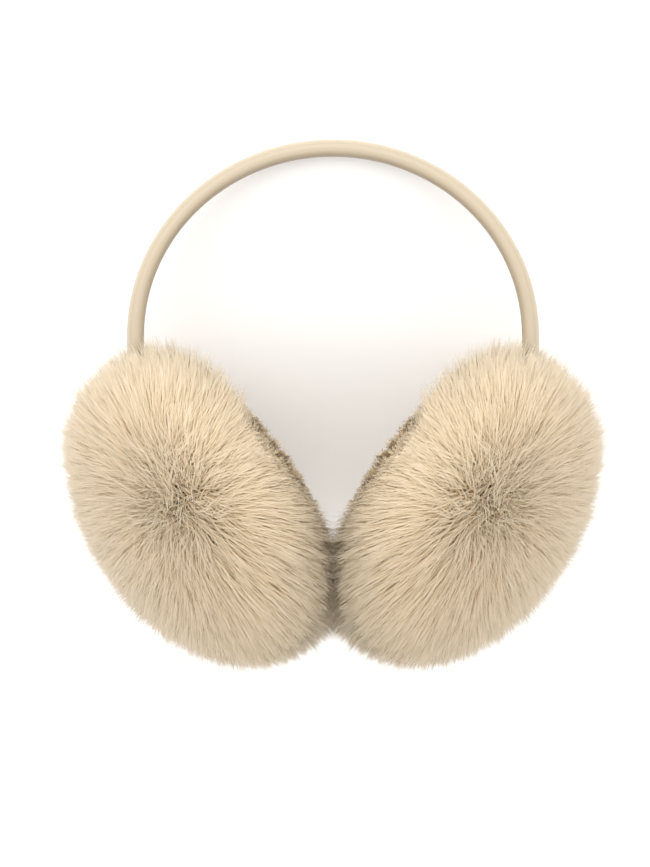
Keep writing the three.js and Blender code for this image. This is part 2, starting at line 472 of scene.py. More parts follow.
HIDE_FINISH = BackingFinish("fur_hide", linear(186, 158, 118))
CUSHION_FINISH = BackingFinish("cushion_backing", linear(198, 174, 140))


@dataclass(frozen=True)
class BandAxes:
    """The headband's own axes: its origin is the middle of the spring line, where the arch meets the legs."""

    origin: Array
    up: Array
    out: Array
    half_span: float
    rise: float
    leg: float
    thickness: float
    width: float

    @classmethod
    def measured(cls, node: bpy.types.Object, arch_rise: float, thickness: float, width: float) -> BandAxes:
        """Reads the axes off the model's headband.

        Args:
            node: the headband.
            arch_rise: outer height of the arch above the spring line.
            thickness: the band's size from the head side to the outer side.
            width: the band's size from front to back.

        Returns:
            The axes.
        """
        points = vertices_of(node)
        spread = points[:, 1:] - points[:, 1:].mean(axis=0)
        main = np.linalg.svd(spread, full_matrices=False)[2][0]
        main = main if main[0] > 0 else -main
        up = np.array([0.0, *main])
        out = np.cross(ACROSS, up)
        middle = (points @ out).max() / 2 + (points @ out).min() / 2
        top = (points @ up).max() - arch_rise
        return cls(
            origin=up * top + out * middle,
            up=up,
            out=out,
            half_span=points[:, 0].max() - thickness / 2,
            rise=arch_rise - thickness / 2,
            leg=top - (points @ up).min(),
            thickness=thickness,
            width=width,
        )

    @property
    def rows(self) -> Array:
        """The directions of the three axes, one row each."""
        return np.stack([ACROSS, self.up, self.out])

    @property
    def placing(self) -> Matrix:
        """What moves a mesh from the band's axes to its place."""
        return matrix_of(self.rows, self.origin)

    def local(self, points: Array) -> Array:
        """Points in the band's axes."""
        return (points - self.origin) @ self.rows.T

    def placed(self, points: Array) -> Array:
        """Points of the band's axes in their place."""
        return self.origin + points @ self.rows


@dataclass(frozen=True)
class PadAxes:
    """The left pad's own axes, from its middle: along the ear face, across it and out of the ear."""

    centre: Array
    rows: Array

    @classmethod
    def measured(
        cls, cushion: bpy.types.Object, fur: bpy.types.Object, band: BandAxes, depth: float
    ) -> PadAxes:
        """Reads the axes off the model's left ear cushion.

        Args:
            cushion: the left ear cushion.
            fur: the left fur pad, which lies on its outer side.
            band: the headband's axes.
            depth: from the pad's widest plane to the back of the cushion.

        Returns:
            The axes.
        """
        points = vertices_of(cushion)
        middle = points.mean(axis=0)
        outwards = np.linalg.svd(points - middle, full_matrices=False)[2][2]
        if outwards @ (vertices_of(fur).mean(axis=0) - middle) < 0:
            outwards = -outwards
        heights = (points - middle) @ outwards
        along = unit(np.cross(band.out, outwards))
        rows = np.stack([along, np.cross(outwards, along), outwards])
        return cls(centre=middle + outwards * (heights.max() + depth), rows=rows)

    def placed(self, points: Array) -> Array:
        """Points of the pad's axes in their place."""
        return self.centre + points @ self.rows

    def local(self, vectors: Array) -> Array:
        """Directions in the pad's axes."""
        return vectors @ self.rows.T

    @property
    def placing(self) -> Matrix:
        """What moves a mesh from the pad's axes to its place."""
        return matrix_of(self.rows, self.centre)


def matrix_of(rows: Array, origin: Array) -> Matrix:
    """The move from axes, given one in each row, to their place round an origin."""
    columns = np.concatenate([rows.T, origin[:, None]], axis=1)
    return Matrix([*columns.tolist(), [0.0, 0.0, 0.0, 1.0]])


def vertices_of(piece: bpy.types.Object) -> Array:
    """The corners of a piece's mesh.

    Args:
        piece: a mesh object.

    Returns:
        One row for each corner.
    """
    flat = np.zeros(len(piece.data.vertices) * 3, np.float32)
    piece.data.vertices.foreach_get("co", flat)
    return flat.reshape(-1, 3).astype(float)


def begin_piece() -> None:
    """Leaves every object deselected before a new one is modelled."""
    if bpy.context.object and bpy.context.object.mode != "OBJECT":
        bpy.ops.object.mode_set(mode="OBJECT")
    bpy.ops.object.select_all(action="DESELECT")


def take(obj: bpy.types.Object, name: str) -> bpy.types.Object:
    """Names an object and its mesh.

    Args:
        obj: a new piece.
        name: its name.

    Returns:
        The same object.
    """
    obj.name = name
    obj.data.name = name
    return obj


def dress(obj: bpy.types.Object, material: bpy.types.Material) -> None:
    """Gives a piece this one material."""
    obj.data.materials.clear()
    obj.data.materials.append(material)


def apply_modifier(obj: bpy.types.Object, kind: str, **settings: Any) -> None:
    """Adds a modifier and applies it.

    Args:
        obj: the piece.
        kind: the modifier's type.
        settings: its settings.
    """
    modifier = obj.modifiers.new(kind.title(), kind)
    for key, value in settings.items():
        setattr(modifier, key, value)
    bpy.context.view_layer.objects.active = obj
    bpy.ops.object.modifier_apply(modifier=modifier.name)


def pick_faces(obj: bpy.types.Object, wanted: Array) -> None:
    """Selects some faces only, and leaves the object in edit mode.

    Args:
        obj: the piece.
        wanted: true for each face to select.
    """
    bpy.ops.object.mode_set(mode="EDIT")
    bpy.ops.mesh.select_mode(type="FACE")
    bpy.ops.mesh.select_all(action="DESELECT")
    bpy.ops.object.mode_set(mode="OBJECT")
    obj.data.polygons.foreach_set("select", wanted.astype(bool))
    bpy.ops.object.mode_set(mode="EDIT")


def face_normals(obj: bpy.types.Object) -> Array:
    """The normals of a piece's faces.

    Args:
        obj: the piece.

    Returns:
        One row for each face.
    """
    flat = np.zeros(len(obj.data.polygons) * 3, np.float32)
    obj.data.polygons.foreach_get("normal", flat)
    return flat.reshape(-1, 3)


def mirrored_copy(obj: bpy.types.Object, name: str) -> bpy.types.Object:
    """A copy with its own mesh, turned over across the middle of the head.

    Args:
        obj: the piece of the left side.
        name: the copy's name.

    Returns:
        The copy, its faces still pointing out.
    """
    copy = obj.copy()
    copy.data = obj.data.copy()
    bpy.context.scene.collection.objects.link(copy)
    copy.data.transform(Matrix.Diagonal((-1.0, 1.0, 1.0, 1.0)))
    copy.data.flip_normals()
    return take(copy, name)


def join_body(obj: bpy.types.Object, slot: str, *nodes: str) -> None:
    """Lets a piece ride on the body and reports it.

    Args:
        obj: the piece.
        slot: not used.
        nodes: the nodes that it stands for.
    """
    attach(obj, BODY)
    if nodes:
        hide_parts(*nodes)
    LOG.info("%s: %d faces", obj.name, len(obj.data.polygons))


def smooth_noise(points: Array, scale: float, rng: np.random.Generator) -> Array:
    """A slow, seeded wave pattern over points, about -1 to 1.

    Args:
        points: one row each.
        scale: size of its patches, in the points' unit.
        rng: the source of its directions.

    Returns:
        One value for each point.
    """
    directions = unit(rng.normal(size=(NOISE_WAVES, 3)))
    waves = directions * rng.uniform(0.6, 1.6, (NOISE_WAVES, 1)) * (2 * math.pi / scale)
    phases = rng.uniform(0, 2 * math.pi, NOISE_WAVES)
    return np.sin(points @ waves.T + phases).mean(axis=1) * NOISE_GAIN


def nearest(points: Array, among: Array) -> Array:
    """Finds the nearest of some places for each point.

    Args:
        points: one row each.
        among: the places, one row each.

    Returns:
        The number of a place for each point.
    """
    tree = KDTree(len(among))
    for number, place in enumerate(among):
        tree.insert(place, number)
    tree.balance()
    return np.array([tree.find(point)[1] for point in points])


@dataclass
class Strands:
    """Many hairs at once: the points along each, from root to tip, and what each looks like."""

    paths: Array
    half_width: Array
    facing: Array
    tone: Array
    roll: Array
    softness: float = 2.3
    tip_light: float = 0.6
    twist: float = 0.12
    map_inset: float = 0.15

    def mesh(self, name: str, side: Side) -> bpy.types.Object:
        """The hairs as one mesh of thin, tapering ribbons.

        Args:
            name: the piece's name.
            side: the side to build; the hairs are given for the left one.

        Returns:
            The object, with its strands' map.
        """
        count, rows, _ = self.paths.shape
        tangents = unit(np.gradient(self.paths, axis=1))
        chord = unit(self.paths[:, -1] - self.paths[:, 0])
        flat = np.cross(chord, self.facing) + self.twist * self.roll
        across = unit(flat[:, None] - (flat[:, None] * tangents).sum(axis=2, keepdims=True) * tangents)
        shows = (np.cross(across[:, 0], tangents[:, 0]) * self.facing).sum(axis=1)
        across = np.where(shows[:, None, None] < 0, -across, across)
        body = self.paths[:, :-1]
        reach = across[:, :-1] * self.half_width[:, :-1, None]
        pairs = np.stack([body + reach, body - reach], axis=2).reshape(count, -1, 3)
        corners = np.concatenate([pairs, self.paths[:, -1:]], axis=1) * side.flip
        obj = self._ribbons(name, corners, rows, side)
        own = np.cross(across, tangents)
        risen = np.linspace(0, self.tip_light, rows)[None, :, None]
        soft = unit(own + self.softness * unit(self.facing[:, None] + risen * tangents)) * side.flip
        both = np.concatenate([np.repeat(soft[:, :-1], 2, axis=1), soft[:, -1:]], axis=1)
        obj.data.normals_split_custom_set_from_vertices(both.reshape(-1, 3))
        return obj

    def _ribbons(self, name: str, corners: Array, rows: int, side: Side) -> bpy.types.Object:
        """Joins the corners of all hairs into one mesh and maps it: tone sideways, root to tip upwards.

        Args:
            name: the piece's name.
            corners: hairs by corners by 3: two for each point along a hair, and one for its tip.
            rows: how many points lie along a hair.
            side: the side that the corners are for, which turns the faces' order.

        Returns:
            The object.
        """
        count, each, _ = corners.shape
        quads = np.array([[2 * r + 1, 2 * r, 2 * r + 2, 2 * r + 3] for r in range(rows - 2)], int)
        tip = np.array([2 * rows - 3, 2 * rows - 4, 2 * rows - 2])
        if side is Side.RIGHT:
            quads, tip = quads[:, ::-1], tip[::-1]
        ring = np.concatenate([quads.ravel(), tip])
        loops = (np.arange(count)[:, None] * each + ring).ravel()
        sizes = np.tile([4] * len(quads) + [3], count)
        mesh = bpy.data.meshes.new(name)
        mesh.vertices.add(count * each)
        mesh.vertices.foreach_set("co", corners.astype(np.float32).ravel())
        mesh.loops.add(len(loops))
        mesh.loops.foreach_set("vertex_index", loops)
        mesh.polygons.add(len(sizes))
        mesh.polygons.foreach_set("loop_start", np.concatenate([[0], np.cumsum(sizes)[:-1]]))
        mesh.polygons.foreach_set("use_smooth", np.ones(len(sizes), bool))
        mesh.update(calc_edges=True)
        place = np.arange(each)
        height = (place // 2) / (rows - 1)
        column = np.floor(self.tone * (TONE_COLUMNS - 1))
        beside = np.where(place % 2 == 0, self.map_inset, 1 - self.map_inset)
        within = np.where(place == each - 1, 0.5, beside)
        tone = (column[:, None] + within) / TONE_COLUMNS
        map_points = np.stack([tone, np.broadcast_to(height, tone.shape)], axis=2).reshape(-1, 2)
        layer = mesh.uv_layers.new(name=STRAND_MAP)
        layer.uv.foreach_set("vector", map_points[loops].astype(np.float32).ravel())
        obj = bpy.data.objects.new(name, mesh)
        bpy.context.scene.collection.objects.link(obj)
        return obj


@dataclass(frozen=True)
class Lobe:
    """A stretch of longer fur, at a turn from the picture's right as the camera sees the left pad."""

    turn: float
    gain: float
    width: float


@dataclass(frozen=True)
class Flare:
    """How far the fur flares past the ear side, at so many degrees round the rim from the front."""

    degrees: float
    depth: float


@dataclass(frozen=True)
class Tones:
    """How light the hairs are, from 0 to 1, and what makes some of them darker: painted shade at the crown
    and where the two pads meet, and random patches and spread of their own.
    """

    plain: float = 0.85
    # The next two darken hairs as painted shade: at the crown and where the two pads meet.
    crown_shade_loss: float = 0.52
    junction_shade_loss: float = 0.5
    patches: float = 0.08
    spread: float = 0.05


@dataclass(frozen=True)
class Coat:
    """One layer of hair: how much of it there is, how it lies and how it gathers in wisps."""

    grade: Grade
    finish: StrandFinish
    hairs: int
    rows: int
    half_width: float
    shortest: float
    longest: float
    comb: float
    wisps: int
    wisp_pull: float
    stray: float
    curl: float
    seed: int


GUARD_COAT = Coat(
    grade=Grade.GUARD_HAIR,
    finish=GUARD_FINISH,
    hairs=38500,
    rows=4,
    half_width=0.18 * MM,
    shortest=0.84,
    longest=1.02,
    comb=0.46,
    wisps=2300,
    wisp_pull=0.38,
    stray=0.04,
    curl=1.2 * MM,
    seed=11,
)
UNDERFUR_COAT = Coat(
    grade=Grade.UNDERFUR,
    finish=UNDERFUR_FINISH,
    hairs=62000,
    rows=3,
    half_width=0.2 * MM,
    shortest=0.68,
    longest=0.96,
    comb=0.4,
    wisps=4200,
    wisp_pull=0.3,
    stray=0.06,
    curl=1.4 * MM,
    seed=23,
)


@dataclass
class FurPads:
    """The two fur pads: a knitted hide dome each, with underfur and guard hair on it."""

    band: BandAxes
    axes: PadAxes
    reach: float = 66 * MM
    bulge: float = 41 * MM
    fur_depth: float = 13 * MM
    ear_side: float = EAR_SIDE
    flares: tuple[Flare, ...] = (
        Flare(0, 0),
        Flare(20, 1.5 * MM),
        Flare(29, 8.5 * MM),
        Flare(36, 12 * MM),
        Flare(50, 12.5 * MM),
        Flare(68, 7 * MM),
        Flare(90, 5 * MM),
        Flare(180, 5 * MM),
    )
    rim_gain: float = 0.08
    front_trim: float = 0.06
    lobes: tuple[Lobe, ...] = (
        Lobe(math.radians(72), 0.12, math.radians(22)),
        Lobe(math.radians(240), 0.03, math.radians(26)),
        Lobe(math.radians(4), 0.13, math.radians(20)),
        Lobe(math.radians(155), 0.018, math.radians(30)),
    )
    crown_turn: float = math.radians(54.5)
    crown_swing: float = math.radians(102.5)
    crown_reach: float = 0.7
    crown_stray: float = 0.1
    crown_pull: float = 0.4
    crown_pull_from: float = 0.85
    # Where the painted shade round the crown begins, as a cosine from the crown.
    crown_shade_from: float = 0.88
    crown_width: float = 0.5
    domed_share: float = 0.81
    root_depth: float = 1 * MM
    lift_share: float = 0.62
    most_pull: float = 0.92
    flow_size: float = 0.9
    flow: float = 0.06
    patch_size: float = 0.5
    overlap: float = 1.5 * MM
    overlap_give: float = 0.6
    overlap_slide: float = 0.25
    # How far from the middle the painted shade between the two pads reaches.
    junction_shade_reach: float = 16 * MM
    table_gap: float = 0.3 * MM
    table_give: float = 1.6 * MM
    table_spread: float = 0.5
    leg_gap: float = 0.3 * MM
    leg_cover: float = 0.4 * MM
    tones: Tones = Tones()
    coats: tuple[Coat, ...] = (UNDERFUR_COAT, GUARD_COAT)

    @property
    def hide_size(self) -> Array:
        """Half sizes of the hide's ellipsoid in the pad's axes."""
        radius = self.reach - self.fur_depth
        return np.array([radius, radius, self.bulge - self.fur_depth])

    @property
    def tip_size(self) -> Array:
        """Half sizes of the ellipsoid that the fur tips reach, in the pad's axes."""
        return np.array([self.reach, self.reach, self.bulge])

    @property
    def crown(self) -> Array:
        """Direction of the crown that the fur parts from, in the pad's axes."""
        level = np.array([math.cos(self.crown_swing), math.sin(self.crown_swing), 0.0])
        return level * math.sin(self.crown_turn) + np.array([0.0, 0.0, math.cos(self.crown_turn)])

    def hide(self) -> bpy.types.Object:
        """The left hide dome: a sphere pressed to the pad's shape and cut flat on the ear side.

        Returns:
            The dome in its place.
        """
        begin_piece()
        bpy.ops.mesh.primitive_uv_sphere_add(segments=56, ring_count=28, radius=1.0)
        dome = take(bpy.context.object, "hide_left")
        bpy.ops.object.mode_set(mode="EDIT")
        bpy.ops.mesh.select_all(action="SELECT")
        bpy.ops.transform.resize(value=tuple(self.hide_size))
        bpy.ops.mesh.bisect(
            plane_co=(0.0, 0.0, -self.ear_side),
            plane_no=(0.0, 0.0, 1.0),
            clear_inner=True,
            use_fill=True,
        )
        bpy.ops.object.mode_set(mode="OBJECT")
        apply_modifier(dome, "BEVEL", width=1.2 * MM, segments=2, limit_method="ANGLE")
        bpy.ops.object.shade_smooth_by_angle(angle=math.radians(40))
        dome.data.transform(self.axes.placing)
        return dome

    def _roots(self, count: int, rng: np.random.Generator) -> Array:
        """Directions spread evenly over the hide by a loose golden-angle spiral.

        Args:
            count: about how many there are on the domed part, which ends at the ear side.
            rng: the source of their looseness.

        Returns:
            Directions in the pad's axes, one row each.
        """
        count = int(count / self.domed_share)
        number = np.arange(count)
        height = 1 - (2 * number + 1) / count
        ring = np.sqrt(1 - height**2)
        turn = number * GOLDEN_ANGLE
        spots = np.stack([ring * np.cos(turn), ring * np.sin(turn), height], axis=1)
        spots = unit(spots + rng.normal(scale=1.1 / math.sqrt(count), size=spots.shape))
        return spots[spots[:, 2] > -self.ear_side / self.hide_size[2]]

    def _paths(self, spots: Array, coat: Coat, reach: Array, stray: Array, steps: Array) -> Array:
        """The curve of each hair, from the hide to the reach of the fur, combed away from the crown.

        Args:
            spots: direction of each root.
            coat: the layer that they belong to.
            reach: how far each one gets, as a share of the fur's reach.
            stray: what is added to each one's aim.
            steps: the shares of the hair at which its points lie.

        Returns:
            Points in the pad's axes: hairs by steps by 3.
        """
        away = spots - (spots @ self.crown)[:, None] * self.crown
        off_crown = np.linalg.norm(away, axis=1, keepdims=True)
        combed = away / np.maximum(off_crown, 1e-9) * np.clip(off_crown / self.crown_reach, 0, 1)
        loose = 1 + self.crown_stray / coat.stray * np.clip(1 - off_crown / self.crown_reach, 0, 1)
        aim = unit(spots + coat.comb * combed + stray * loose)
        lowest = -(self.ear_side + self._flare(aim)) / self.bulge
        low = aim[:, 2] < lowest
        aim = np.where(low[:, None], unit(np.stack([aim[:, 0], aim[:, 1], lowest], axis=1)), aim)
        hide = spots * self.hide_size
        normal = unit(spots / self.hide_size)
        tips = aim * self.tip_size * (reach * self._longer(aim))[:, None]
        roots = hide - normal * self.root_depth
        lift = hide + normal * self.fur_depth * self.lift_share * reach[:, None]
        t = steps[None, :, None]
        return (1 - t) ** 2 * roots[:, None] + 2 * t * (1 - t) * lift[:, None] + t**2 * tips[:, None]

    def _near_crown(self, spots: Array, start: float) -> Array:
        """How near each direction is to the crown: 0 from the given cosine on outwards, 1 at the crown."""
        return np.clip((spots @ self.crown - start) / (1 - start), 0, 1)

    def _off_front(self, aim: Array) -> Array:
        """The angle round the rim between each direction and the front, the side away from the table."""
        front = unit(self.axes.local(self.band.out)[:2])
        return np.arccos(np.clip(unit(aim[:, :2]) @ front, -1, 1))

    def _flare(self, aim: Array) -> Array:
        """How far the fur flares past the ear side: little at the front, most on both sides of it.

        Args:
            aim: directions in the pad's axes.

        Returns:
            A depth for each direction.
        """
        turns = [flare.degrees for flare in self.flares]
        depths = [flare.depth for flare in self.flares]
        return np.interp(np.degrees(self._off_front(aim)), turns, depths)

    def _longer(self, aim: Array) -> Array:
        """How much longer the fur is along each direction: fuller at the ear side's rim and at the lobes.

        Args:
            aim: directions in the pad's axes.

        Returns:
            A factor for each direction.
        """
        towards_rim = np.clip(-aim[:, 2] * self.bulge / self.ear_side, 0, 1)
        off_front = self._off_front(aim)
        at_front = np.clip(np.cos(off_front), 0, 1) ** 3
        gain = 1 + towards_rim**1.5 * (self.rim_gain * np.sin(off_front / 2) - self.front_trim * at_front)
        for lobe in self.lobes:
            seen = math.cos(lobe.turn) * ACROSS + math.sin(lobe.turn) * self.band.up
            off = np.arccos(np.clip(aim @ self.axes.local(seen), -1, 1))
            gain += lobe.gain * np.exp(-0.5 * (off / lobe.width) ** 2)
        return gain

    def _gathered(
        self, paths: Array, spots: Array, coat: Coat, steps: Array, rng: np.random.Generator
    ) -> Array:
        """Pulls the hairs of each wisp towards the wisp's own line, more so at the tips.

        Args:
            paths: the hairs in the pad's axes.
            spots: direction of each root.
            coat: the layer that they belong to.
            steps: the shares of the hair at which its points lie.
            rng: the source of the wisps' places.

        Returns:
            The gathered hairs.
        """
        wisps = self._roots(coat.wisps, rng)
        swirl = rng.normal(scale=coat.stray, size=wisps.shape)
        reach = rng.uniform(coat.shortest + 0.02, coat.longest, len(wisps))
        lines = self._paths(wisps, coat, reach, swirl, steps)
        own_line = lines[nearest(spots, wisps)]
        pull = coat.wisp_pull * rng.uniform(0.5, 1.25, len(spots))
        pull *= 1 + self.crown_pull * self._near_crown(spots, self.crown_pull_from)
        pull = np.clip(pull[:, None] * steps[None] ** 1.2, 0, self.most_pull)
        return paths + (own_line - paths) * pull[:, :, None]

    def _settled(self, paths: Array, steps: Array, rng: np.random.Generator) -> Array:
        """Bends placed hairs off the table, off the other pad and off the headband's leg.

        Args:
            paths: the hairs in their place, which are changed.
            steps: the shares of the hair at which its points lie.
            rng: the source of how far each one gives.

        Returns:
            The bent hairs.
        """
        give = rng.uniform(0.0, self.table_give, len(paths))[:, None] * steps[None]
        lowest = self.table_gap + give
        sunk = np.maximum(lowest - paths[..., 2], 0)
        outward = unit((paths - self.axes.centre)[..., :2])
        paths[..., 2] += sunk
        paths[..., :2] += outward * sunk[..., None] * self.table_spread
        limit = self.overlap - give * self.overlap_give
        over = np.maximum(paths[..., 0] - limit, 0)
        paths[..., 0] -= over
        slide = (paths - self.axes.centre)[..., 1:]
        paths[..., 1:] += unit(slide) * over[..., None] * self.overlap_slide
        paths[..., 2] = np.maximum(paths[..., 2], self.table_gap)
        local = self.band.local(paths)
        inside = np.abs(local[..., 0] + self.band.half_span) < self.band.thickness / 2 + self.leg_gap
        inside &= np.abs(local[..., 2]) < self.band.width / 2 + self.leg_gap
        inside &= local[..., 1] > -self.band.leg
        cover = self.band.width / 2 + self.leg_cover
        local[..., 2] = np.where(inside, np.where(local[..., 2] < 0, -cover, cover), local[..., 2])
        return self.band.placed(local)

    def hair(self, coat: Coat) -> Strands:
        """One layer of the left pad's fur.

        Args:
            coat: the layer.

        Returns:
            Its hairs, in their place.
        """
        rng = np.random.default_rng(coat.seed)
        steps = np.linspace(0, 1, coat.rows)
        spots = self._roots(coat.hairs, rng)
        flow = np.stack([smooth_noise(spots, self.flow_size, rng) for _ in range(3)], axis=1) * self.flow
        stray = flow + rng.normal(scale=coat.stray, size=spots.shape)
        reach = rng.triangular(coat.shortest, coat.longest - 0.04, coat.longest, len(spots))
        paths = self._paths(spots, coat, reach, stray, steps)
        paths = self._gathered(paths, spots, coat, steps, rng)
        curl = unit(rng.normal(size=spots.shape)) * coat.curl * rng.uniform(0, 1, (len(spots), 1))
        bend = steps[None] ** 2 * np.sin(rng.uniform(2, 6, (len(spots), 1)) * steps[None])
        paths = self.axes.placed(paths + curl[:, None] * bend[..., None])
        paths = self._settled(paths, steps, rng)
        taper = np.clip(1.15 - steps**2, 0.3, 1.0)
        near_crown = self._near_crown(spots, self.crown_shade_from)
        # Painted shade where the two pads meet: hairs whose tips lie near the middle are darkened.
        near_junction = np.clip(1 - np.abs(paths[:, -1, 0]) / self.junction_shade_reach, 0, 1)
        width = coat.half_width * rng.uniform(0.7, 1.2, len(spots)) * (1 + self.crown_width * near_crown)
        tone = self.tones.plain + self.tones.patches * smooth_noise(spots, self.patch_size, rng)
        # Painted shade: darker towards the crown, where the hair parts, and near the middle where the two
        # pads meet.
        tone -= self.tones.crown_shade_loss * near_crown + self.tones.junction_shade_loss * near_junction
        tone += rng.normal(scale=self.tones.spread, size=len(spots))
        return Strands(
            paths=paths,
            half_width=width[:, None] * taper[None],
            facing=unit((spots / self.hide_size) @ self.axes.rows),
            tone=np.clip(tone, 0, 0.999),
            roll=rng.normal(size=spots.shape),
        )

    def build(self) -> None:
        """Builds and dresses both pads."""
        left = self.hide()
        dress(left, HIDE_FINISH.material())
        for side, dome in ((Side.LEFT, left), (Side.RIGHT, mirrored_copy(left, "hide_right"))):
            join_body(dome, "fur", f"fur_pad_{side.value}")
        for coat in self.coats:
            hairs = self.hair(coat)
            material = coat.finish.material()
            for side in Side:
                piece = hairs.mesh(f"{coat.grade.value}_{side.value}", side)
                dress(piece, material)
                join_body(piece, "fur")


@dataclass
class EarCushions:
    """The two round plush cushions on the ear side of the pads."""

    axes: PadAxes
    radius: float = 46 * MM
    height: float = 8.5 * MM
    ear_side: float = EAR_SIDE
    clearance: float = CUSHION_GAP
    edge: float = 4.5 * MM
    crown_steps: tuple[float, ...] = (0.06, 0.22, 0.3)
    crown_rise: float = 0.25 * MM
    pile: float = 2.4 * MM
    edge_gain: float = 0.8
    face_lean: float = 0.15
    edge_lean: float = 0.65
    side_lean: float = 0.35
    edge_sink: float = 0.6 * MM
    root_depth: float = 0.4 * MM
    whirl: float = 0.45
    scatter: float = 0.2
    elbow: float = 0.55
    hairs: int = 23000
    wisps: int = 4600
    wisp_pull: float = 0.42
    patch: float = 9 * MM
    half_width: float = 0.25 * MM
    seed: int = 37

    def core(self) -> bpy.types.Object:
        """The left cushion under its pile: a drum with a soft edge and a slightly crowned ear face.

        Returns:
            The cushion in its place.
        """
        begin_piece()
        depth = self.height - self.clearance - self.pile
        bpy.ops.mesh.primitive_cylinder_add(vertices=64, radius=self.radius - self.pile, depth=depth)
        core = take(bpy.context.object, "cushion_left")
        pick_faces(core, face_normals(core)[:, 2] < -0.9)
        for share in self.crown_steps:
            bpy.ops.mesh.inset(thickness=share * self.radius, depth=0)
            bpy.ops.transform.translate(value=(0, 0, -self.crown_rise))
        bpy.ops.object.mode_set(mode="OBJECT")
        soft = self.edge - self.pile / 2
        apply_modifier(
            core, "BEVEL", width=soft, segments=5, limit_method="ANGLE", angle_limit=math.radians(60)
        )
        bpy.ops.object.shade_smooth_by_angle(angle=math.radians(60))
        middle = -self.ear_side - self.clearance - depth / 2
        core.data.transform(self.axes.placing @ Matrix.Translation((0, 0, middle)))
        return core

    def _seats(self, rng: np.random.Generator) -> tuple[Array, Array, Array]:
        """Where the pile's hairs stand, on the cushion's side and on its ear face.

        Args:
            rng: the source of their places.

        Returns:
            The roots, the normals there, and how near the edge each is, from 0 to 1.
        """
        core_radius = self.radius - self.pile
        back = -self.ear_side - self.clearance
        face = -self.ear_side - self.height + self.pile
        flat = core_radius - self.edge
        side_area = (back - face) * 2 * core_radius
        on_side = rng.uniform(size=self.hairs) < side_area / (flat**2 + side_area)
        turn = rng.uniform(0, 2 * math.pi, self.hairs)
        out = np.stack([np.cos(turn), np.sin(turn), np.zeros(self.hairs)], axis=1)
        ring = np.where(on_side, core_radius, core_radius * np.sqrt(rng.uniform(size=self.hairs)))
        level = np.where(on_side, rng.uniform(face, back, self.hairs), face)
        over_edge = np.clip((ring - flat) / self.edge, 0, 1)
        round_off = np.clip((level - face) / self.edge, 0, 1)
        face_lean = self.face_lean + (self.edge_lean - self.face_lean) * over_edge
        side_lean = self.side_lean + (1 - self.side_lean) * round_off
        lean = np.where(on_side, side_lean, face_lean)
        normal = unit(out * lean[:, None] - np.array([0.0, 0.0, 1.0]) * (1.02 - lean)[:, None])
        sink = self.edge_sink * np.where(on_side, 1 - round_off, over_edge)
        roots = out * ring[:, None] + level[:, None] * np.array([0.0, 0.0, 1.0]) - normal * sink[:, None]
        return roots, normal, np.where(on_side, 1 - 0.4 * round_off, over_edge**2)

    def plush(self) -> Strands:
        """The short pile on the left cushion's side and ear face, leaning away from its middle.

        Returns:
            Its hairs, in their place.
        """
        rng = np.random.default_rng(self.seed)
        roots, normal, at_edge = self._seats(rng)
        whirl = unit(np.cross(normal, unit(rng.normal(size=roots.shape))))
        aim = unit(normal + self.whirl * whirl + self.scatter * rng.normal(size=roots.shape))
        length = self.pile * (rng.uniform(0.8, 1.15, self.hairs) * (1 + self.edge_gain * at_edge))[:, None]
        middle = roots + normal * length * self.elbow
        paths = np.stack([roots - normal * self.root_depth, middle, roots + aim * length], axis=1)
        wisps = rng.choice(self.hairs, self.wisps, replace=False)
        own_wisp = wisps[nearest(roots, roots[wisps])]
        steps = np.array([0.0, self.elbow, 1.0])
        pull = self.wisp_pull * rng.uniform(0.4, 1.2, self.hairs)[:, None] * steps[None]
        paths = paths + (paths[own_wisp] - paths) * pull[:, :, None]
        width = self.half_width * rng.uniform(0.8, 1.2, self.hairs)
        tone = 0.5 + 0.2 * smooth_noise(roots, self.patch, rng) + rng.normal(scale=0.2, size=self.hairs)
        return Strands(
            paths=self.axes.placed(paths),
            half_width=width[:, None] * np.array([1.0, 0.9, 0.2])[None],
            facing=normal @ self.axes.rows,
            tone=np.clip(tone, 0, 0.999),
            roll=rng.normal(size=roots.shape),
        )

    def build(self) -> None:
        """Builds and dresses both cushions."""
        left = self.core()
        dress(left, CUSHION_FINISH.material())
        for side, core in ((Side.LEFT, left), (Side.RIGHT, mirrored_copy(left, "cushion_right"))):
            join_body(core, "plush", f"ear_cushion_{side.value}")
        hairs = self.plush()
        pile = PLUSH_FINISH.material()
        for side in Side:
            piece = hairs.mesh(f"plush_{side.value}", side)
            dress(piece, pile)
            join_body(piece, "plush")


